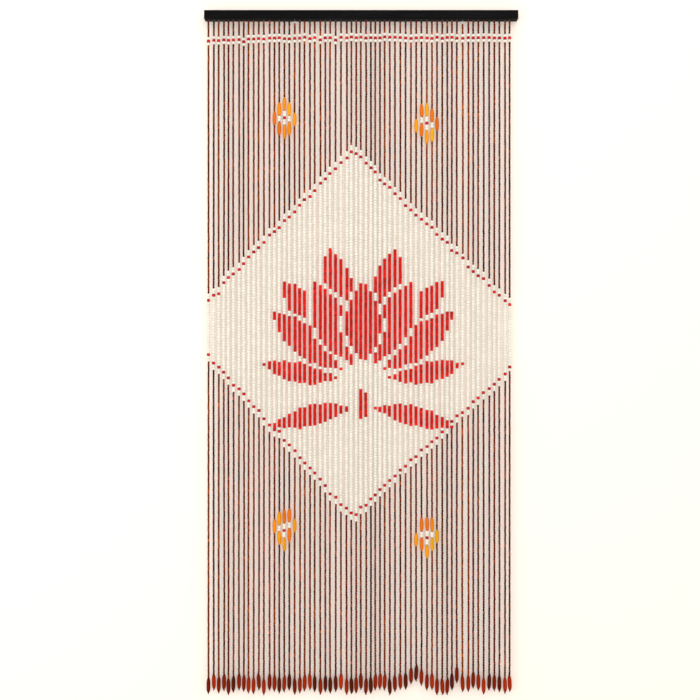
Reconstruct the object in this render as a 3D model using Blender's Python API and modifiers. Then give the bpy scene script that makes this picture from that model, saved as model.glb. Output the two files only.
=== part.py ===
"""Bead curtain with its wooden head bar, in metres, +Z up.

The origin is the centre of the bar's back face. The curtain hangs in front of a wall or a
doorway at +Y, so its show side faces -Y and +X is to the right. Two bodies are made: the head
bar, and the comb of sixty bead strands that hangs from it. Each tooth of the comb is the
envelope of one strand: thin small beads, fat panel beads, flower petals and an end drop.
"""

import math
import random

import bmesh
import bpy

# Head bar, length along X, thickness along Y, height along Z
BAR_LENGTH = 0.900
BAR_THICKNESS = 0.028
BAR_HEIGHT = 0.025
BAR_EDGE = 0.0012

# Heading, the strip along which the threads are held under the bar
MESH_GAP = 0.0003
HEADING_HEIGHT = 0.002
HEADING_THICKNESS = 0.006
HEADING_OVERHANG = 0.004

# Strands
STRANDS = 60
CURTAIN_WIDTH = 0.8660
CURTAIN_X = -0.0060
LEAST_SPACING = 0.0126
STRAND_DROP = 1.9415
MOST_DROP_SLIP = 0.016
WAVE_SIDEWAYS = 0.0010
WAVE_FORWARDS = 0.0013
SEED = 1178

# Beads: radius of each kind, and the pitch of the fat panel beads
THREAD_RADIUS = 0.0010
SMALL_RADIUS = 0.0031
PANEL_RADIUS = 0.0053
PANEL_PITCH = 0.0078
PETAL_RADIUS = 0.0060
PETAL_LENGTH = 0.040
DROP_RADIUS = 0.0060
DROP_LENGTH = 0.049
DROP_SHOULDER = 0.016

# Red and cream band near the top: three panel beads on each strand
BAND_DEPTH = 0.0515
BAND_BEADS = 3
BAND_SLIP = 0.0010
BAND_LOW = {7: 0.007, 22: 0.007, 25: 0.006}
BAND_DROOP = 0.010
DROOP_STRANDS = 20

# Cream diamond: depth of its red edge beads at the two middle strands, and the step to each next
APEX_STRAND = 28.5
TOP_APEX = 0.381
BOTTOM_APEX = 1.420
UPPER_LEFT_STEP = 0.0152
UPPER_RIGHT_STEP = 0.0147
LOWER_LEFT_STEP = 0.0163
LOWER_RIGHT_STEP = 0.0139
EDGE_SLIP = 0.0030
BORDER_BEADS = 2

# Flowers: middle strand, depth of the middle bead, and how far each of its five strands slipped
FLOWERS = (
    (15, 0.281, (0.001, 0.003, 0.000, 0.003, 0.005)),
    (43, 0.297, (0.007, -0.009, 0.000, 0.005, 0.002)),
    (15, 1.467, (-0.012, -0.006, 0.000, -0.015, -0.014)),
    (43, 1.488, (0.006, -0.009, 0.000, -0.009, -0.004)),
)
PETAL_REACH = 2
HEART_BEADS = {0: 5, 1: 2}

# Strands that are caught up at their lower ends: strand and lift
LIFTED = {39: 0.012, 40: 0.027, 41: 0.030, 42: 0.018, 49: 0.021, 52: 0.014}

# Colours, linear RGB
BAR_BLACK = (0.012, 0.011, 0.013, 1.0)
STRAND_BROWN = (0.110, 0.030, 0.012, 1.0)


def named_collection(name):
    """A collection of this name, linked to the scene."""
    made = bpy.data.collections.new(name)
    bpy.context.scene.collection.children.link(made)
    return made


def painted(name, colour, roughness):
    """A plain Principled material."""
    material = bpy.data.materials.new(name)
    material.use_nodes = True
    shader = material.node_tree.nodes["Principled BSDF"]
    shader.inputs["Base Color"].default_value = colour
    shader.inputs["Roughness"].default_value = roughness
    shader.inputs["Metallic"].default_value = 0.0
    return material


def box_object(name, size, centre, collection, material):
    """A box of this size, with its scale applied."""
    bpy.ops.mesh.primitive_cube_add(size=1.0, location=centre)
    made = bpy.context.active_object
    made.name = made.data.name = name
    made.scale = size
    bpy.ops.object.transform_apply(location=False, rotation=False, scale=True)
    for owner in list(made.users_collection):
        owner.objects.unlink(made)
    collection.objects.link(made)
    made.data.materials.append(material)
    return made


def strand_places():
    """X of each strand: uneven spacings, none under LEAST_SPACING, that fill the curtain's width."""
    draw = random.Random(SEED)
    shares = [draw.betavariate(1.6, 2.9) for _ in range(STRANDS - 1)]
    spare = CURTAIN_WIDTH - LEAST_SPACING * (STRANDS - 1)
    places = [CURTAIN_X - CURTAIN_WIDTH / 2]
    for share in shares:
        places.append(places[-1] + LEAST_SPACING + spare * share / sum(shares))
    return places


def strand_facts():
    """For each strand, the slips of its band, diamond edges and end, and the form of its waves."""
    draw = random.Random(SEED + 1)
    facts = []
    for _ in range(STRANDS):
        facts.append(
            {
                "band": draw.gauss(0.0, BAND_SLIP),
                "upper": draw.gauss(0.0, EDGE_SLIP),
                "lower": draw.gauss(0.0, EDGE_SLIP),
                "end": draw.uniform(0.0, MOST_DROP_SLIP),
                "side": draw.uniform(-WAVE_SIDEWAYS, WAVE_SIDEWAYS),
                "side_waves": draw.choice((1, 2, 3)),
                "front": draw.uniform(-WAVE_FORWARDS, WAVE_FORWARDS),
                "front_waves": draw.choice((1, 2)),
            }
        )
    return facts


def diamond_edges(strand, fact):
    """Depths of the upper and lower red edge beads on this strand, whole panel beads apart."""
    steps = abs(strand - APEX_STRAND) - 0.5
    left = strand < APEX_STRAND
    upper_step = UPPER_LEFT_STEP if left else UPPER_RIGHT_STEP
    lower_step = LOWER_LEFT_STEP if left else LOWER_RIGHT_STEP
    upper = TOP_APEX + steps * upper_step + fact["upper"]
    lower = BOTTOM_APEX - steps * lower_step + fact["lower"]
    return upper, upper + PANEL_PITCH * round((lower - upper) / PANEL_PITCH)


def flower_runs(strand):
    """Petals and hearts on this strand, as (kind, top, bottom) depths."""
    runs = []
    for middle, depth, slips in FLOWERS:
        away = abs(strand - middle)
        if away > PETAL_REACH:
            continue
        centre = depth + slips[strand - middle + PETAL_REACH]
        if away == PETAL_REACH:
            runs.append(("petal", centre - PETAL_LENGTH / 2, centre + PETAL_LENGTH / 2))
            continue
        heart = HEART_BEADS[away] * PANEL_PITCH / 2
        runs.append(("petal", centre - heart - PETAL_LENGTH, centre - heart))
        runs.append(("heart", centre - heart, centre + heart))
        runs.append(("petal", centre + heart, centre + heart + PETAL_LENGTH))
    return runs


def strand_runs(strand, fact):
    """Stretches of one strand that aren't small beads, as (kind, top, bottom) below the bar."""
    droop = BAND_DROOP * max(0.0, 1.0 - strand / DROOP_STRANDS) ** 2
    band = BAND_DEPTH + fact["band"] + droop + BAND_LOW.get(strand, 0.0)
    half_band = BAND_BEADS * PANEL_PITCH / 2
    upper, lower = diamond_edges(strand, fact)
    border = (BORDER_BEADS + 0.5) * PANEL_PITCH
    tip = STRAND_DROP - fact["end"] - LIFTED.get(strand, 0.0)
    runs = [
        ("band", band - half_band, band + half_band),
        ("panel", upper - border, lower + border),
        ("drop", tip - DROP_LENGTH, tip),
        *flower_runs(strand),
    ]
    return sorted(runs, key=lambda run: run[1])


def strand_point(place, fact, depth):
    """Middle of the strand at this depth below the bar. Its waves die out at both ends."""
    turn = math.pi * depth / STRAND_DROP
    return (
        place + fact["side"] * math.sin(turn * fact["side_waves"]),
        -BAR_THICKNESS / 2 + fact["front"] * math.sin(turn * fact["front_waves"]),
        -BAR_HEIGHT / 2 - depth,
    )


def strand_profile(runs):
    """(depth, radius) down one strand, from inside the heading to the tip of its drop."""
    slope = 0.0025
    profile = [(MESH_GAP + HEADING_HEIGHT / 2, SMALL_RADIUS)]
    for kind, top, bottom in runs:
        if kind == "band":
            profile += [(top, SMALL_RADIUS), ((top + bottom) / 2, PANEL_RADIUS)]
            profile += [(bottom, SMALL_RADIUS)]
        elif kind == "panel":
            profile += [(top, SMALL_RADIUS), (top + slope, PANEL_RADIUS)]
            profile += [(bottom - slope, PANEL_RADIUS), (bottom, SMALL_RADIUS)]
        elif kind == "petal":
            ends = [(top, SMALL_RADIUS), (bottom, SMALL_RADIUS)]
            profile += [ends[0], ((top + bottom) / 2, PETAL_RADIUS), ends[1]]
        elif kind == "drop":
            profile += [(top, SMALL_RADIUS), (top + DROP_SHOULDER, DROP_RADIUS)]
            profile += [(bottom, THREAD_RADIUS)]
    return merged(profile)


def merged(profile):
    """The profile without a section that lies on the one before it."""
    kept = [profile[0]]
    for depth, radius in profile[1:]:
        if depth - kept[-1][0] > 0.0005:
            kept.append((depth, radius))
    return kept


def teeth_object(collection, material):
    """Sixty closed teeth as one mesh, from a curve with one spline for each strand."""
    curve = bpy.data.curves.new("strand_teeth", "CURVE")
    curve.dimensions = "3D"
    curve.twist_mode = "MINIMUM"
    curve.bevel_depth = 1.0
    curve.bevel_resolution = 1
    curve.use_fill_caps = True
    for strand, (place, fact) in enumerate(zip(strand_places(), strand_facts())):
        profile = strand_profile(strand_runs(strand, fact))
        spline = curve.splines.new("POLY")
        spline.points.add(len(profile) - 1)
        for point, (depth, radius) in zip(spline.points, profile):
            point.co = (*strand_point(place, fact, depth), 1.0)
            point.radius = radius
    guide = bpy.data.objects.new("strand_teeth_guide", curve)
    collection.objects.link(guide)
    bpy.context.view_layer.update()
    seen = bpy.context.evaluated_depsgraph_get()
    mesh = bpy.data.meshes.new_from_object(guide.evaluated_get(seen), depsgraph=seen)
    made = bpy.data.objects.new("strand_teeth", mesh)
    made.matrix_world = guide.matrix_world
    bpy.data.objects.remove(guide)
    welded = bmesh.new()
    welded.from_mesh(mesh)
    bmesh.ops.remove_doubles(welded, verts=welded.verts, dist=0.00005)
    bmesh.ops.recalc_face_normals(welded, faces=welded.faces)
    welded.to_mesh(mesh)
    welded.free()
    mesh.materials.clear()
    mesh.materials.append(material)
    collection.objects.link(made)
    made.hide_render = True
    made.display_type = "WIRE"
    return made


def make_head_bar(collection):
    """The black wooden bar, its back face at Y = 0."""
    size = (BAR_LENGTH, BAR_THICKNESS, BAR_HEIGHT)
    centre = (0.0, -BAR_THICKNESS / 2, 0.0)
    bar = box_object("head_bar", size, centre, collection, painted("black_wood", BAR_BLACK, 0.5))
    rounded = bar.modifiers.new("Edges", "BEVEL")
    rounded.width = BAR_EDGE
    rounded.segments = 2
    return bar


def make_strand_comb(collection, cutters):
    """The heading strip with the sixty strands joined to it as one solid."""
    beads = painted("brown_beads", STRAND_BROWN, 0.4)
    length = CURTAIN_WIDTH + 2 * HEADING_OVERHANG
    middle = -BAR_HEIGHT / 2 - MESH_GAP - HEADING_HEIGHT / 2
    size = (length, HEADING_THICKNESS, HEADING_HEIGHT)
    centre = (CURTAIN_X, -BAR_THICKNESS / 2, middle)
    comb = box_object("strand_comb", size, centre, collection, beads)
    joined = comb.modifiers.new("Strands", "BOOLEAN")
    joined.operation = "UNION"
    joined.solver = "EXACT"
    joined.object = teeth_object(cutters, beads)
    return comb


def main():
    for item in list(bpy.data.objects):
        bpy.data.objects.remove(item)
    parts = named_collection("bead_curtain")
    cutters = named_collection("cutters")
    make_head_bar(parts)
    make_strand_comb(parts, cutters)


main()
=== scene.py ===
"""Looks of the bead curtain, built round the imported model: sixty strands of wooden beads on
white thread, under a black stained bar.

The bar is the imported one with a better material. The comb is replaced by threads and by joined
bead meshes, each of one material. Metres, +Z up, the show side faces -Y. The strand layout
repeats part.py's numbers and draws, because the beads must lie in the comb's teeth.
"""

import math
import random

import bpy
import numpy as np
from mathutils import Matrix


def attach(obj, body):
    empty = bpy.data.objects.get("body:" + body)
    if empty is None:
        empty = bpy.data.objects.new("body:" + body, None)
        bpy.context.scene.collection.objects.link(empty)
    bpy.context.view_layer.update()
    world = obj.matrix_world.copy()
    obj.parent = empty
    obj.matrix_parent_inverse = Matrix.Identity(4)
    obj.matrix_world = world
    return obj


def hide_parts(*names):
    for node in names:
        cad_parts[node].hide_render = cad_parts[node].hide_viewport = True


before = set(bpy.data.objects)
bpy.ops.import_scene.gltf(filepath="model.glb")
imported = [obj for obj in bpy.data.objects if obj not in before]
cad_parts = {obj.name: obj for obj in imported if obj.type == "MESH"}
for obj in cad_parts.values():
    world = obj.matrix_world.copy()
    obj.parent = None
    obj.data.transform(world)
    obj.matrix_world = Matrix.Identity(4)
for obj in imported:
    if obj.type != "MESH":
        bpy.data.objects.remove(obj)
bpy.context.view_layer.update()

# Strand layout, as in part.py
BAR_THICKNESS = 0.028
BAR_HEIGHT = 0.025
STRANDS = 60
CURTAIN_WIDTH = 0.8660
CURTAIN_X = -0.0060
LEAST_SPACING = 0.0126
SPACING_SHAPE = (1.6, 2.9)
STRAND_DROP = 1.9415
MOST_DROP_SLIP = 0.016
WAVE_SIDEWAYS = 0.0010
WAVE_FORWARDS = 0.0013
SEED = 1178

SMALL_RADIUS = 0.0031
PANEL_RADIUS = 0.0053
PANEL_PITCH = 0.0078
PETAL_RADIUS = 0.0060
PETAL_LENGTH = 0.040
DROP_RADIUS = 0.0060
DROP_LENGTH = 0.049

BAND_DEPTH = 0.0515
BAND_BEADS = 3
BAND_SLIP = 0.0010
BAND_LOW = {7: 0.007, 22: 0.007, 25: 0.006}
BAND_DROOP = 0.010
DROOP_STRANDS = 20

APEX_STRAND = 28.5
TOP_APEX = 0.381
BOTTOM_APEX = 1.420
UPPER_LEFT_STEP = 0.0152
UPPER_RIGHT_STEP = 0.0147
LOWER_LEFT_STEP = 0.0163
LOWER_RIGHT_STEP = 0.0139
EDGE_SLIP = 0.0030
BORDER_BEADS = 2

# Flowers: middle strand, depth of the middle bead, and how far each of its five strands slipped
FLOWERS = (
    (15, 0.281, (0.001, 0.003, 0.000, 0.003, 0.005)),
    (43, 0.297, (0.007, -0.009, 0.000, 0.005, 0.002)),
    (15, 1.467, (-0.012, -0.006, 0.000, -0.015, -0.014)),
    (43, 1.488, (0.006, -0.009, 0.000, -0.009, -0.004)),
)
PETAL_REACH = 2
HEART_BEADS = {0: 5, 1: 2}
LIFTED = {39: 0.012, 40: 0.027, 41: 0.030, 42: 0.018, 49: 0.021, 52: 0.014}

# Threads: the 40 that hang lowest get a curve each, and the rest share one. The 40 that
# hang lowest are declared as cords, which is the most that may be
THREAD_DIAMETER = 0.0010
THREAD_POINTS = 25
DECLARED_THREADS = 40
KNOT_LENGTH = 0.0036
KNOT_RADIUS = 0.0021

# Small brown beads: pitch along the strand, and how much bare thread shows under the bar
SMALL_PITCH = 0.0076
LEAST_BARE = 0.0010
MOST_BARE = 0.0035
LONG_BARE = {17: 0.009, 50: 0.011}
BEAD_FILL = 0.985
BEAD_LEAN = 0.055
BEAD_SHIFT = 0.00016
BEAD_SIZES = (0.94, 1.0)
GAP_EPSILON = 0.0015

# Lotus in the middle of the diamond, mirrored about its own middle, from front to back.
# Each row: foot x, foot y, turn from upright in degrees, length, half width, fullest place, bend
MOTIF_X = 0.014
MOTIF_DEPTH = 0.908
MOTIF_GAP = 0.0125
MOTIF_SHAPES = (
    (0.000, -0.080, 0, 0.250, 0.062, 0.45, 0.000),
    (0.030, -0.090, 27, 0.290, 0.056, 0.48, 0.012),
    (0.052, -0.104, 55, 0.290, 0.050, 0.50, 0.024),
    (0.062, -0.122, 86, 0.250, 0.036, 0.50, 0.030),
    (0.020, -0.050, 15, 0.325, 0.048, 0.62, 0.000),
    (0.050, -0.060, 42, 0.300, 0.044, 0.62, 0.010),
    (0.000, -0.130, 180, 0.145, 0.020, 0.45, 0.000),
    (0.020, -0.206, 97, 0.270, 0.036, 0.50, -0.030),
)
ODD_BEAD = 0.035

# Radius of each kind of bead
BEAD_RADII = {
    "small": SMALL_RADIUS,
    "cream": PANEL_RADIUS,
    "red": PANEL_RADIUS,
    "edge_red": PANEL_RADIUS,
    "petal": PETAL_RADIUS,
    "drop": DROP_RADIUS,
    "knot": KNOT_RADIUS,
}

# Bead forms: rings as (place along the bead from 0 to 1, share of the radius)
SMALL_RINGS = ((0.0, 0.66), (0.22, 0.98), (0.78, 0.98), (1.0, 0.66))
PANEL_RINGS = ((0.0, 0.68), (0.14, 0.91), (0.50, 1.0), (0.86, 0.91), (1.0, 0.68))
PETAL_RINGS = (
    (0.0, 0.40), (0.03, 0.58), (0.12, 0.80), (0.28, 0.95), (0.50, 1.0),
    (0.72, 0.95), (0.88, 0.80), (0.97, 0.58), (1.0, 0.40),
)
DROP_RINGS = (
    (0.0, 0.46), (0.04, 0.52), (0.10, 0.64), (0.18, 0.81), (0.26, 0.93), (0.37, 0.99),
    (0.52, 1.0), (0.69, 0.99), (0.81, 0.92), (0.90, 0.75), (0.96, 0.54), (1.0, 0.38),
)
KNOT_RINGS = ((0.0, 0.35), (0.18, 0.85), (0.5, 1.0), (0.8, 0.8), (1.0, 0.35))
SMALL_SIDES = 7
PANEL_SIDES = 8
PETAL_SIDES = 16
DROP_SIDES = 16
KNOT_SIDES = 8

# Map of one bead's cell: its side fills this share from the bottom, and its end caps the rest
STRIP_SHARE = 0.80
CAP_MIDDLES = (0.25, 0.75)
CAP_RADIUS = 0.09
CELL_MARGIN = 0.05

# Colours, sRGB from 0 to 255
BROWN_TONES = (
    (46, 20, 3), (108, 28, 3), (148, 67, 4), (78, 35, 3), (97, 18, 3), (127, 49, 3),
)
STRAND_SHARE = 0.5
CREAM = (238, 233, 220)
RED = (226, 26, 15)
EDGE_RED = (196, 20, 26)
ORANGES = ((226, 132, 8), (232, 152, 10), (214, 108, 8), (226, 162, 12))
RUSTS = ((142, 36, 4), (122, 28, 4), (154, 40, 4), (84, 24, 6))
KNOT_BROWN = (58, 34, 26)
BAR_DARK = (5, 5, 5)
BAR_PALE = (20, 18, 21)
WALL_COLOUR = (239, 224, 210)
FLOOR_COLOUR = (238, 236, 233)

# How the dye differs from bead to bead, and how fast a strand's tone drifts, in radians a metre
SMALL_SPREAD = 0.36
RED_SPREAD = 0.16
EDGE_SPREAD = 0.14
DROP_SPREAD = 0.14
CREAM_SHADES = (0.92, 1.03)
PETAL_SHADES = (0.9, 1.08)
DRIFT_SPEEDS = (6.0, 60.0)
DRIFT_WAVES = 3

# Painted shade along a bead, as (place, height) stops: each bead is painted darker at its ends,
# standing in for the shade where beads meet
SMALL_PAINTED_END_SHADE = ((0.0, 0.36), (0.2, 1.0), (0.8, 1.0), (1.0, 0.36))
CREAM_PAINTED_END_SHADE = ((0.0, 0.82), (0.15, 1.0), (0.85, 1.0), (1.0, 0.82))
RED_PAINTED_END_SHADE = ((0.0, 0.14), (0.28, 1.0), (0.72, 1.0), (1.0, 0.14))
PETAL_PAINTED_END_SHADE = ((0.0, 0.62), (0.12, 1.0), (0.88, 1.0), (1.0, 0.62))
DROP_PAINTED_END_SHADE = ((0.0, 0.42), (0.25, 0.95), (0.80, 1.0), (1.0, 0.30))

# Each bead material: name, grain contrast, painted shade along the bead (darker ends), roughness,
# gloss, relief in metres
BEAD_FINISHES = {
    "brown": ("brown_wood_beads", 0.28, SMALL_PAINTED_END_SHADE, 0.42, 0.02, 0.00008),
    "cream": ("cream_wood_beads", 0.03, CREAM_PAINTED_END_SHADE, 0.42, 0.25, 0.00004),
    "red": ("red_wood_beads", 0.10, RED_PAINTED_END_SHADE, 0.32, 0.12, 0.00004),
    "orange": ("orange_wood_beads", 0.10, PETAL_PAINTED_END_SHADE, 0.32, 0.12, 0.00006),
    "rust": ("rust_wood_beads", 0.16, DROP_PAINTED_END_SHADE, 0.36, 0.03, 0.00008),
    "knot": ("dark_thread_knots", 0.30, SMALL_PAINTED_END_SHADE, 0.80, 0.05, 0.00030),
}

# How much smoother and rougher than its finish a bead is from place to place
SMOOTHER = 0.07
ROUGHER = 0.12

# Noise and wave scales, per metre
STREAK_SCALE = 650.0
PORE_SCALE = 2600.0
TWIST_SCALE = 700.0
BAR_GRAIN_SCALE = 420.0
BAR_CLOUD_SCALE = 9.0

# Brown and cream beads are split by strand into this many pieces
BROWN_PIECES = 4
CREAM_PIECES = 3

# Camera, stage and lights
CAMERA_X = -0.032
CAMERA_Z = -0.961
CAMERA_DISTANCE = 2.9
FRAME_HEIGHT = 2.013
SENSOR = 36.0
WALL_Y = 0.004
WALL_GLOW = 0.20
GLOW_COLOUR = (1.0, 0.99, 0.98, 1.0)
WALL_HALF = 3.0
WALL_TOP = 1.2
FLOOR_Z = -2.06
FLOOR_HALF = 4.0
FLOOR_FRONT = -5.0
FLOOR_BACK = 3.0
SKY_STRENGTH = 1.02


def linear(colour):
    """A 0 to 255 sRGB colour as linear RGB."""
    shares = [part / 255.0 for part in colour]
    return tuple(s / 12.92 if s <= 0.04045 else ((s + 0.055) / 1.055) ** 2.4 for s in shares)


def strand_places():
    """X of each strand, drawn as in part.py."""
    draw = random.Random(SEED)
    shares = [draw.betavariate(*SPACING_SHAPE) for _ in range(STRANDS - 1)]
    spare = CURTAIN_WIDTH - LEAST_SPACING * (STRANDS - 1)
    places = [CURTAIN_X - CURTAIN_WIDTH / 2]
    for share in shares:
        places.append(places[-1] + LEAST_SPACING + spare * share / sum(shares))
    return places


def strand_facts():
    """Slips and waves of each strand, drawn as in part.py."""
    draw = random.Random(SEED + 1)
    facts = []
    for _ in range(STRANDS):
        facts.append(
            {
                "band": draw.gauss(0.0, BAND_SLIP),
                "upper": draw.gauss(0.0, EDGE_SLIP),
                "lower": draw.gauss(0.0, EDGE_SLIP),
                "end": draw.uniform(0.0, MOST_DROP_SLIP),
                "side": draw.uniform(-WAVE_SIDEWAYS, WAVE_SIDEWAYS),
                "side_waves": draw.choice((1, 2, 3)),
                "front": draw.uniform(-WAVE_FORWARDS, WAVE_FORWARDS),
                "front_waves": draw.choice((1, 2)),
            }
        )
    return facts


def diamond_edges(strand, fact):
    """Depths of the upper and lower red edge beads on this strand, whole panel beads apart."""
    steps = abs(strand - APEX_STRAND) - 0.5
    left = strand < APEX_STRAND
    upper_step = UPPER_LEFT_STEP if left else UPPER_RIGHT_STEP
    lower_step = LOWER_LEFT_STEP if left else LOWER_RIGHT_STEP
    upper = TOP_APEX + steps * upper_step + fact["upper"]
    lower = BOTTOM_APEX - steps * lower_step + fact["lower"]
    return upper, upper + PANEL_PITCH * round((lower - upper) / PANEL_PITCH)


def flower_runs(strand):
    """Petals and hearts on this strand, as (kind, top, bottom) depths."""
    runs = []
    for middle, depth, slips in FLOWERS:
        away = abs(strand - middle)
        if away > PETAL_REACH:
            continue
        centre = depth + slips[strand - middle + PETAL_REACH]
        if away == PETAL_REACH:
            runs.append(("petal", centre - PETAL_LENGTH / 2, centre + PETAL_LENGTH / 2))
            continue
        heart = HEART_BEADS[away] * PANEL_PITCH / 2
        runs.append(("petal", centre - heart - PETAL_LENGTH, centre - heart))
        runs.append(("heart", centre - heart, centre + heart))
        runs.append(("petal", centre + heart, centre + heart + PETAL_LENGTH))
    return runs


def strand_runs(strand, fact):
    """Stretches of one strand that aren't small beads, as (kind, top, bottom) below the bar."""
    droop = BAND_DROOP * max(0.0, 1.0 - strand / DROOP_STRANDS) ** 2
    band = BAND_DEPTH + fact["band"] + droop + BAND_LOW.get(strand, 0.0)
    half_band = BAND_BEADS * PANEL_PITCH / 2
    upper, lower = diamond_edges(strand, fact)
    border = (BORDER_BEADS + 0.5) * PANEL_PITCH
    tip = STRAND_DROP - fact["end"] - LIFTED.get(strand, 0.0)
    runs = [
        ("band", band - half_band, band + half_band),
        ("panel", upper - border, lower + border),
        ("drop", tip - DROP_LENGTH, tip),
        *flower_runs(strand),
    ]
    return sorted(runs, key=lambda run: run[1])


def strand_point(place, fact, depth):
    """Middle of the strand at this depth below the bar. Its waves die out at both ends."""
    turn = math.pi * depth / STRAND_DROP
    return (
        place + fact["side"] * math.sin(turn * fact["side_waves"]),
        -BAR_THICKNESS / 2 + fact["front"] * math.sin(turn * fact["front_waves"]),
        -BAR_HEIGHT / 2 - depth,
    )


def make_camera():
    """The photograph's view: level, square on, a little left of the curtain's middle."""
    data = bpy.data.cameras.new("photo_camera")
    data.sensor_width = SENSOR
    data.lens = SENSOR * CAMERA_DISTANCE / FRAME_HEIGHT
    data.clip_end = 50.0
    camera = bpy.data.objects.new("photo_camera", data)
    camera.location = (CAMERA_X, -BAR_THICKNESS / 2 - CAMERA_DISTANCE, CAMERA_Z)
    camera.rotation_euler = (math.radians(90.0), 0.0, 0.0)
    bpy.context.scene.collection.objects.link(camera)
    bpy.context.scene.camera = camera


def thread_points(place, fact, tip):
    """Points down one thread, from the bar's underside to the middle of its knot."""
    end = tip - KNOT_LENGTH / 2
    steps = [end * step / (THREAD_POINTS - 1) for step in range(THREAD_POINTS)]
    return [strand_point(place, fact, depth) for depth in steps]


def thread_curve(name, lines, material):
    """A curve object with one round thread along each line of points."""
    curve = bpy.data.curves.new(name, "CURVE")
    curve.dimensions = "3D"
    curve.bevel_depth = THREAD_DIAMETER / 2
    curve.bevel_resolution = 1
    curve.use_fill_caps = True
    for line in lines:
        spline = curve.splines.new("POLY")
        spline.points.add(len(line) - 1)
        for point, place in zip(spline.points, line):
            point.co = (*place, 1.0)
    curve.materials.append(material)
    made = bpy.data.objects.new(name, curve)
    bpy.context.scene.collection.objects.link(made)
    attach(made, "root")
    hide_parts("strand_comb")
    return made


def make_threads(places, facts, material):
    """Sixty threads. The longest each get a curve of their own, and the rest share one curve."""
    tips = [STRAND_DROP - fact["end"] - LIFTED.get(n, 0.0) for n, fact in enumerate(facts)]
    lines = [thread_points(*facts_of) for facts_of in zip(places, facts, tips)]
    longest = sorted(range(STRANDS), key=lambda strand: -tips[strand])[:DECLARED_THREADS]
    for strand in sorted(longest):
        line = lines[strand]
        thread = thread_curve(f"thread_{strand + 1:02d}", [line], material)
    rest = [lines[strand] for strand in range(STRANDS) if strand not in longest]
    thread_curve("threads_shorter", rest, material)


def petal_reach(x, y, shape):
    """How far a point lies outside one petal or leaf of the motif: below 0 is inside."""
    foot_x, foot_y, degrees, length, half_width, fullest, bend = shape
    turn = math.radians(degrees)
    along = (x - foot_x) * math.sin(turn) + (y - foot_y) * math.cos(turn)
    across = (x - foot_x) * math.cos(turn) - (y - foot_y) * math.sin(turn)
    share = along / length
    if share <= 0.0 or share >= 1.0:
        return max(-along, along - length) + abs(across)
    power = math.log(0.5) / math.log(fullest)
    return abs(across + bend * share * share) - half_width * math.sin(math.pi * share**power)


def motif_is_red(x, depth):
    """True where the lotus puts a red bead. Shapes in front keep a cream line round them."""
    for shape in MOTIF_SHAPES:
        reach = petal_reach(abs(x - MOTIF_X), MOTIF_DEPTH - depth, shape)
        if reach < -MOTIF_GAP / 2:
            return True
        if reach < MOTIF_GAP / 2:
            return False
    return False


def chart_x(strand):
    """Where the design is read for this strand, as if the strands were evenly spaced."""
    return (strand - (STRANDS - 1) / 2) * CURTAIN_WIDTH / (STRANDS - 1)


def even_beads(kind, top, bottom, count):
    """Equal beads of one kind from top to bottom, as (kind, top, bottom)."""
    pitch = (bottom - top) / count
    return [(kind, top + n * pitch, top + (n + 1) * pitch) for n in range(count)]


def panel_beads(strand, top, bottom, draw):
    """Beads of the diamond on one strand: cream, a red edge bead near each end, and the motif."""
    count = round((bottom - top) / PANEL_PITCH)
    beads = []
    for n, (_, upper, lower) in enumerate(even_beads("cream", top, bottom, count)):
        kind = "cream"
        if n in (BORDER_BEADS, count - 1 - BORDER_BEADS):
            kind = "edge_red"
        elif n in (0, count - 1) and draw.random() < ODD_BEAD:
            kind = "small"
        elif motif_is_red(chart_x(strand), (upper + lower) / 2):
            kind = "red"
        beads.append((kind, upper, lower))
    return beads


def heart_beads(top, bottom):
    """Cream beads in the middle of a flower, with a red one where there are five."""
    count = round((bottom - top) / PANEL_PITCH)
    beads = even_beads("cream", top, bottom, count)
    if count == HEART_BEADS[0]:
        middle = count // 2
        beads[middle] = ("edge_red", *beads[middle][1:])
    return beads


def run_beads(strand, run, draw):
    """The beads of one stretch."""
    kind, top, bottom = run
    if kind == "band":
        beads = even_beads("cream", top, bottom, BAND_BEADS)
        middle = BAND_BEADS // 2
        beads[middle] = ("edge_red", *beads[middle][1:])
        return beads
    if kind == "panel":
        return panel_beads(strand, top, bottom, draw)
    if kind == "heart":
        return heart_beads(top, bottom)
    if kind == "drop":
        return [("drop", top, bottom - KNOT_LENGTH), ("knot", bottom - KNOT_LENGTH, bottom)]
    return [(kind, top, bottom)]


def strand_beads(strand, fact, draw):
    """Every bead of one strand from the bar down, as (kind, top, bottom)."""
    depth = LONG_BARE.get(strand, draw.uniform(LEAST_BARE, MOST_BARE))
    beads = []
    for run in strand_runs(strand, fact):
        room = run[1] - depth
        if room > GAP_EPSILON:
            beads += even_beads("small", depth, run[1], max(1, round(room / SMALL_PITCH)))
        beads += run_beads(strand, run, draw)
        depth = run[2]
    return beads


def blended(first, second, share):
    """A colour part of the way from first to second."""
    return tuple(a + (b - a) * share for a, b in zip(first, second))


def strand_tone(draw):
    """A function from depth to a brown: each strand has its own tone, which drifts down it."""
    base = linear(draw.choice(BROWN_TONES))
    other = linear(draw.choice(BROWN_TONES))
    waves = []
    for _ in range(DRIFT_WAVES):
        waves.append((draw.uniform(*DRIFT_SPEEDS), draw.uniform(0.0, 2 * math.pi)))

    def tone(depth):
        """The strand's brown at this depth."""
        drift = sum(math.sin(speed * depth + start) for speed, start in waves) / len(waves)
        return blended(base, other, 0.5 + 0.5 * drift)

    return tone


def scaled(colour, factor):
    """The colour made lighter or darker."""
    return tuple(part * factor for part in colour)


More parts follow.
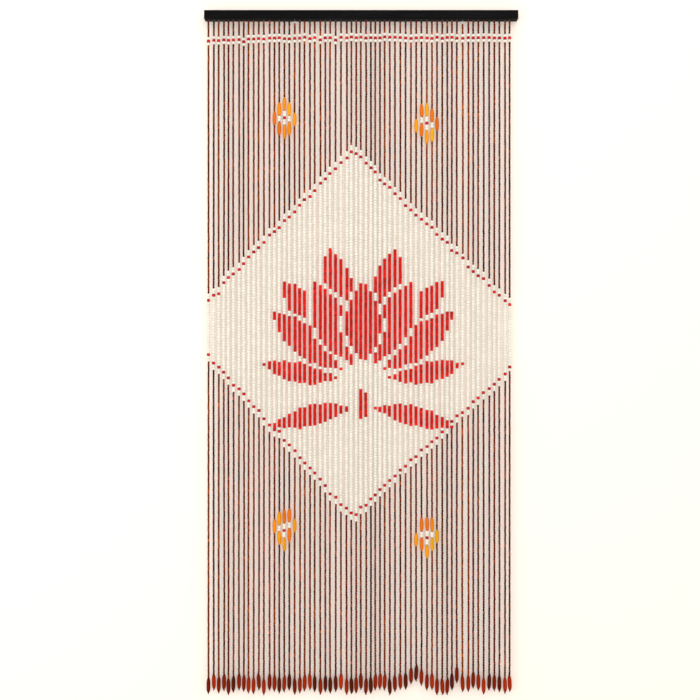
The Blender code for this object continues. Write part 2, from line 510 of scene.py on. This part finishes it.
def bead_colour(kind, depth, tone, draw):
    """Linear colour of one bead. Every bead is dyed a little differently."""
    if kind == "small":
        own = linear(draw.choice(BROWN_TONES))
        dyed = blended(own, tone(depth), STRAND_SHARE)
        return scaled(dyed, draw.lognormvariate(0.0, SMALL_SPREAD))
    if kind == "cream":
        return scaled(linear(CREAM), draw.uniform(*CREAM_SHADES))
    if kind == "red":
        return scaled(linear(RED), draw.lognormvariate(0.0, RED_SPREAD))
    if kind == "edge_red":
        return scaled(linear(EDGE_RED), draw.lognormvariate(0.0, EDGE_SPREAD))
    if kind == "petal":
        return scaled(linear(draw.choice(ORANGES)), draw.uniform(*PETAL_SHADES))
    if kind == "drop":
        return scaled(linear(draw.choice(RUSTS)), draw.lognormvariate(0.0, DROP_SPREAD))
    return linear(KNOT_BROWN)


def bead_row(place, fact, bead, tone, draw):
    """What a mesh needs to know of one bead."""
    kind, top, bottom = bead
    lean = BEAD_LEAN if kind == "small" else BEAD_LEAN / 3
    x, y, z = strand_point(place, fact, (top + bottom) / 2)
    return {
        "centre": (x + draw.gauss(0.0, BEAD_SHIFT), y + draw.gauss(0.0, BEAD_SHIFT), z),
        "length": (bottom - top) * BEAD_FILL,
        "radius": BEAD_RADII[kind] * draw.uniform(*BEAD_SIZES),
        "turn": draw.uniform(0.0, 2 * math.pi),
        "lean": (draw.gauss(0.0, lean), draw.gauss(0.0, lean)),
        "colour": bead_colour(kind, (top + bottom) / 2, tone, draw),
    }


def all_beads(places, facts):
    """Rows of every bead, as {kind: [rows of strand 1, rows of strand 2, ...]}."""
    draw = random.Random(SEED + 2)
    rows = {kind: [[] for _ in range(STRANDS)] for kind in BEAD_RADII}
    for strand, (place, fact) in enumerate(zip(places, facts)):
        tone = strand_tone(draw)
        for bead in strand_beads(strand, fact, draw):
            rows[bead[0]][strand].append(bead_row(place, fact, bead, tone, draw))
    return rows


def bead_form(rings, sides):
    """A turned bead along -Z, one long and radius one: points, faces and their map places."""
    points = []
    for along, radius in rings:
        for side in range(sides):
            turn = 2 * math.pi * side / sides
            points.append((radius * math.cos(turn), radius * math.sin(turn), 0.5 - along))
    faces, spots = [], []
    for ring in range(len(rings) - 1):
        high, low = rings[ring][0] * STRIP_SHARE, rings[ring + 1][0] * STRIP_SHARE
        for side in range(sides):
            after = (side + 1) % sides
            here, below = ring * sides, (ring + 1) * sides
            faces.append((here + side, below + side, below + after, here + after))
            left, right = side / sides, (side + 1) / sides
            spots.append(((left, high), (left, low), (right, low), (right, high)))
    last = (len(rings) - 1) * sides
    faces.append(tuple(range(sides)))
    faces.append(tuple(last + side for side in reversed(range(sides))))
    for middle in CAP_MIDDLES:
        spots.append(
            tuple(
                (
                    middle + CAP_RADIUS * math.cos(2 * math.pi * side / sides),
                    (1 + STRIP_SHARE) / 2 + CAP_RADIUS * math.sin(2 * math.pi * side / sides),
                )
                for side in range(sides)
            )
        )
    return np.array(points), faces, spots


def bead_points(rows, form):
    """Places of all the points of these beads, as one array for each bead."""
    turns = np.array([row["turn"] for row in rows])[:, None]
    radii = np.array([row["radius"] for row in rows])[:, None]
    lengths = np.array([row["length"] for row in rows])[:, None]
    leans = np.array([row["lean"] for row in rows])
    centres = np.array([row["centre"] for row in rows])
    x, y, z = form[:, 0][None], form[:, 1][None], form[:, 2][None] * lengths
    placed = np.empty((len(rows), len(form), 3))
    placed[..., 0] = (x * np.cos(turns) - y * np.sin(turns)) * radii + z * leans[:, :1]
    placed[..., 1] = (x * np.sin(turns) + y * np.cos(turns)) * radii + z * leans[:, 1:]
    placed[..., 2] = z
    return placed + centres[:, None]


def cell_places(count, spots):
    """Map places of every face corner: each bead has its own square cell of the map."""
    across = math.ceil(math.sqrt(count))
    flat = np.array([corner for face in spots for corner in face])
    flat = CELL_MARGIN + flat * (1 - 2 * CELL_MARGIN)
    cells = np.stack([np.arange(count) % across, np.arange(count) // across], axis=1)
    return (cells[:, None] + flat[None]).reshape(-1, 2) / across


def bead_mesh(name, rows, rings, sides):
    """One joined mesh of these beads, with each bead's colour and the place along it."""
    form, faces, spots = bead_form(rings, sides)
    corners = np.array([corner for face in faces for corner in face])
    totals = np.array([len(face) for face in faces])
    count = len(rows)
    mesh = bpy.data.meshes.new(name)
    mesh.vertices.add(count * len(form))
    mesh.loops.add(count * len(corners))
    mesh.polygons.add(count * len(faces))
    steps = np.arange(count)[:, None]
    starts = np.cumsum(totals) - totals
    mesh.vertices.foreach_set("co", bead_points(rows, form).ravel())
    mesh.loops.foreach_set("vertex_index", (corners[None] + steps * len(form)).ravel())
    mesh.polygons.foreach_set("loop_start", (starts[None] + steps * len(corners)).ravel())
    mesh.polygons.foreach_set("loop_total", np.tile(totals, count))
    mesh.update(calc_edges=True)
    mesh.polygons.foreach_set("use_smooth", np.ones(count * len(faces), bool))
    colours = np.array([(*row["colour"], 1.0) for row in rows])
    tint = mesh.attributes.new("tint", "FLOAT_COLOR", "POINT")
    tint.data.foreach_set("color", np.repeat(colours, len(form), axis=0).ravel())
    along = mesh.attributes.new("along", "FLOAT", "POINT")
    along.data.foreach_set("value", np.tile(0.5 - form[:, 2], count))
    cells = mesh.uv_layers.new(name="OFBake")
    cells.data.foreach_set("uv", cell_places(count, spots).ravel())
    mesh.validate()
    return mesh


def bead_piece(name, rows, rings, sides, material):
    """A joined mesh of beads as one piece of the curtain."""
    mesh = bead_mesh(name, rows, rings, sides)
    mesh.materials.append(material)
    made = bpy.data.objects.new(name, mesh)
    bpy.context.scene.collection.objects.link(made)
    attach(made, "root")
    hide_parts("strand_comb")


def joined_rows(rows, kinds, strands):
    """The rows of these kinds on these strands, in one list."""
    return [row for strand in strands for kind in kinds for row in rows[kind][strand]]


def strand_groups(pieces):
    """The strands as this many equal groups, from left to right."""
    size = STRANDS // pieces
    return [range(part * size, part * size + size) for part in range(pieces)]


def make_beads(rows, materials):
    """All the beads, with brown and cream split by strand to keep each piece light."""
    for part, strands in enumerate(strand_groups(BROWN_PIECES)):
        found = joined_rows(rows, ["small"], strands)
        name = f"brown_beads_{part + 1}"
        bead_piece(name, found, SMALL_RINGS, SMALL_SIDES, materials["brown"])
    for part, strands in enumerate(strand_groups(CREAM_PIECES)):
        found = joined_rows(rows, ["cream"], strands)
        name = f"cream_beads_{part + 1}"
        bead_piece(name, found, PANEL_RINGS, PANEL_SIDES, materials["cream"])
    every = range(STRANDS)
    reds = joined_rows(rows, ["red", "edge_red"], every)
    bead_piece("red_beads", reds, PANEL_RINGS, PANEL_SIDES, materials["red"])
    petals = joined_rows(rows, ["petal"], every)
    bead_piece("petals", petals, PETAL_RINGS, PETAL_SIDES, materials["orange"])
    drops = joined_rows(rows, ["drop"], every)
    bead_piece("end_drops", drops, DROP_RINGS, DROP_SIDES, materials["rust"])
    knots = joined_rows(rows, ["knot"], every)
    bead_piece("end_knots", knots, KNOT_RINGS, KNOT_SIDES, materials["knot"])


class Nodes:
    """A material's node tree, with short ways to add and join nodes."""

    def __init__(self, name):
        self.material = bpy.data.materials.new(name)
        self.material.use_nodes = True
        self.tree = self.material.node_tree
        self.shader = self.tree.nodes["Principled BSDF"]

    def add(self, kind, **values):
        """A node of this kind, with these settings."""
        node = self.tree.nodes.new(f"ShaderNode{kind}")
        for name, value in values.items():
            setattr(node, name, value)
        return node

    def join(self, output, socket):
        """A link from output to socket."""
        self.tree.links.new(output, socket)

    def attribute(self, name, output="Color"):
        """The mesh's own value of this name."""
        node = self.add("Attribute", attribute_name=name)
        return node.outputs[output]

    def noise(self, scale, stretch=(1.0, 1.0, 1.0), detail=2.0, rough=0.5):
        """Noise in the object's own space, in 1/m, squeezed along each axis by stretch."""
        place = self.add("TexCoord")
        mapping = self.add("Mapping")
        mapping.inputs["Scale"].default_value = stretch
        noise = self.add("TexNoise")
        noise.inputs["Scale"].default_value = scale
        noise.inputs["Detail"].default_value = detail
        noise.inputs["Roughness"].default_value = rough
        self.join(place.outputs["Object"], mapping.inputs["Vector"])
        self.join(mapping.outputs["Vector"], noise.inputs["Vector"])
        return noise.outputs["Fac"]

    def ranged(self, value, low, high, start=0.3, end=0.7):
        """The value taken from start..end to low..high."""
        node = self.add("MapRange")
        node.inputs["From Min"].default_value = start
        node.inputs["From Max"].default_value = end
        node.inputs["To Min"].default_value = low
        node.inputs["To Max"].default_value = high
        self.join(value, node.inputs["Value"])
        return node.outputs["Result"]

    def times(self, colour, value):
        """The colour made lighter or darker by a value."""
        node = self.add("VectorMath", operation="SCALE")
        self.join(colour, node.inputs[0])
        self.join(value, node.inputs["Scale"])
        return node.outputs["Vector"]

    def curve(self, value, stops):
        """A value read off a ramp of (place, height) stops."""
        node = self.add("ValToRGB")
        ramp = node.color_ramp
        while len(ramp.elements) < len(stops):
            ramp.elements.new(0.5)
        for element, (place, height) in zip(ramp.elements, stops):
            element.position = place
            element.color = (height, height, height, 1.0)
        self.join(value, node.inputs["Fac"])
        return node.outputs["Color"]

    def bump(self, height, distance, strength=1.0):
        """Fine relief on the shader, as high as distance in metres."""
        node = self.add("Bump")
        node.inputs["Distance"].default_value = distance
        node.inputs["Strength"].default_value = strength
        self.join(height, node.inputs["Height"])
        self.join(node.outputs["Normal"], self.shader.inputs["Normal"])

    def set(self, **values):
        """Fixed values on the shader's own sockets, with _ for each space in a socket's name."""
        for name, value in values.items():
            self.shader.inputs[name.replace("_", " ")].default_value = value


def bead_material(name, grain, stops, rough, gloss, relief):
    """Lacquered wood: each bead's own dye, wood grain along it, and painted shade darkening its
    ends.
    """
    nodes = Nodes(name)
    streaks = nodes.noise(STREAK_SCALE, stretch=(1.0, 1.0, 0.16), detail=3.0)
    pores = nodes.noise(PORE_SCALE, stretch=(1.0, 1.0, 0.35), detail=1.0)
    shade = nodes.ranged(streaks, 1.0 - grain, 1.0 + grain)
    # Painted shade: the colour is darkened towards each bead's ends, where beads meet
    ends = nodes.curve(nodes.attribute("along", "Fac"), stops)
    colour = nodes.times(nodes.attribute("tint"), shade)
    colour = nodes.times(colour, ends)
    nodes.join(colour, nodes.shader.inputs["Base Color"])
    uneven = nodes.ranged(pores, low=rough - SMOOTHER, high=rough + ROUGHER)
    nodes.join(uneven, nodes.shader.inputs["Roughness"])
    nodes.bump(nodes.ranged(pores, 0.0, 1.0), relief)
    nodes.set(Specular_IOR_Level=gloss)
    return nodes.material


def thread_material():
    """White cotton thread with the twist of its plies."""
    nodes = Nodes("white_thread")
    place = nodes.add("TexCoord")
    wave = nodes.add("TexWave", wave_type="BANDS", bands_direction="DIAGONAL")
    wave.inputs["Scale"].default_value = TWIST_SCALE
    nodes.join(place.outputs["Object"], wave.inputs["Vector"])
    shade = nodes.ranged(wave.outputs["Fac"], low=0.72, high=0.98, start=0.0, end=1.0)
    colour = nodes.add("CombineColor")
    for channel in ("Red", "Green", "Blue"):
        nodes.join(shade, colour.inputs[channel])
    nodes.join(colour.outputs["Color"], nodes.shader.inputs["Base Color"])
    nodes.set(Roughness=0.9)
    return nodes.material


def bar_material():
    """Black stained wood: long grain along the bar, dull, with paler rubbed streaks."""
    nodes = Nodes("black_stained_wood")
    grain = nodes.noise(BAR_GRAIN_SCALE, stretch=(0.025, 1.0, 1.0), detail=4.0, rough=0.6)
    cloud = nodes.noise(BAR_CLOUD_SCALE, stretch=(0.5, 1.0, 1.0), detail=2.0)
    mix = nodes.add("Mix", data_type="RGBA")
    mix.inputs["A"].default_value = (*linear(BAR_DARK), 1.0)
    mix.inputs["B"].default_value = (*linear(BAR_PALE), 1.0)
    pale = nodes.ranged(grain, low=0.0, high=0.8, start=0.35, end=0.75)
    nodes.join(pale, mix.inputs["Factor"])
    shade = nodes.ranged(cloud, low=0.75, high=1.2)
    nodes.join(nodes.times(mix.outputs["Result"], shade), nodes.shader.inputs["Base Color"])
    nodes.join(nodes.ranged(grain, low=0.62, high=0.48), nodes.shader.inputs["Roughness"])
    nodes.bump(grain, distance=0.0004, strength=0.5)
    nodes.set(Specular_IOR_Level=0.05)
    return nodes.material


def make_materials():
    """One material for each kind of bead, the thread and the bar."""
    made = {key: bead_material(*finish) for key, finish in BEAD_FINISHES.items()}
    made["thread"] = thread_material()
    made["bar"] = bar_material()
    return made


def finish_bar(material):
    """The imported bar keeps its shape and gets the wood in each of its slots."""
    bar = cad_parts["head_bar"]
    for slot in bar.material_slots:
        slot.material = material


def plane(name, corners, material):
    """A flat four-cornered stage piece."""
    mesh = bpy.data.meshes.new(name)
    mesh.from_pydata(corners, [], [(0, 1, 2, 3)])
    mesh.materials.append(material)
    made = bpy.data.objects.new(name, mesh)
    bpy.context.scene.collection.objects.link(made)


def stage_paint(name, colour, glow):
    """Matt pale paint that can't be seen from behind, so views from the back or below stay open."""
    nodes = Nodes(name)
    nodes.set(Base_Color=(*linear(colour), 1.0), Roughness=0.95)
    nodes.set(Emission_Color=GLOW_COLOUR, Emission_Strength=glow)
    behind = nodes.add("NewGeometry")
    clear = nodes.add("BsdfTransparent")
    choice = nodes.add("MixShader")
    output = nodes.tree.nodes["Material Output"]
    nodes.join(behind.outputs["Backfacing"], choice.inputs["Fac"])
    nodes.join(nodes.shader.outputs["BSDF"], choice.inputs[1])
    nodes.join(clear.outputs["BSDF"], choice.inputs[2])
    nodes.join(choice.outputs["Shader"], output.inputs["Surface"])
    return nodes.material


def make_stage():
    """A pale wall just behind the bar and a pale floor below the curtain."""
    wall = [
        (-WALL_HALF, WALL_Y, FLOOR_Z),
        (WALL_HALF, WALL_Y, FLOOR_Z),
        (WALL_HALF, WALL_Y, WALL_TOP),
        (-WALL_HALF, WALL_Y, WALL_TOP),
    ]
    plane("backdrop_wall", wall, stage_paint("pale_wall", WALL_COLOUR, WALL_GLOW))
    floor = [
        (-FLOOR_HALF, FLOOR_FRONT, FLOOR_Z),
        (FLOOR_HALF, FLOOR_FRONT, FLOOR_Z),
        (FLOOR_HALF, FLOOR_BACK, FLOOR_Z),
        (-FLOOR_HALF, FLOOR_BACK, FLOOR_Z),
    ]
    plane("floor", floor, stage_paint("pale_floor", FLOOR_COLOUR, 0.0))


def area_light(name, place, aim, size, power, colour):
    """A soft square light at place, turned to aim."""
    data = bpy.data.lights.new(name, "AREA")
    data.shape = "SQUARE"
    data.size = size
    data.energy = power
    data.color = colour
    made = bpy.data.objects.new(name, data)
    made.location = place
    line = np.array(aim, float) - np.array(place, float)
    flat = math.hypot(line[0], line[1])
    tilt = math.atan2(flat, -line[2])
    turn = math.atan2(line[1], line[0]) - math.pi / 2
    made.rotation_euler = (tilt, 0.0, turn)
    bpy.context.scene.collection.objects.link(made)


def make_lights():
    """Soft studio light: a large key above the camera, a fill from the left, pale surroundings."""
    area_light(
        "key",
        place=(0.5, -2.6, 1.1),
        aim=(0.0, 0.0, -0.8),
        size=1.8,
        power=20.0,
        colour=(1.0, 0.98, 0.96),
    )
    area_light(
        "fill",
        place=(-1.9, -2.6, -1.5),
        aim=(0.0, 0.0, -1.5),
        size=2.2,
        power=24.0,
        colour=(0.97, 0.98, 1.0),
    )
    world = bpy.data.worlds.new("surroundings")
    world.use_nodes = True
    sky = world.node_tree.nodes["Background"]
    sky.inputs["Color"].default_value = (1.0, 1.0, 1.0, 1.0)
    sky.inputs["Strength"].default_value = SKY_STRENGTH
    bpy.context.scene.world = world
    bpy.context.scene.view_settings.view_transform = "Standard"


places = strand_places()
facts = strand_facts()
make_camera()
materials = make_materials()
make_threads(places, facts, materials["thread"])
make_beads(all_beads(places, facts), materials)
finish_bar(materials["bar"])
make_stage()
make_lights()
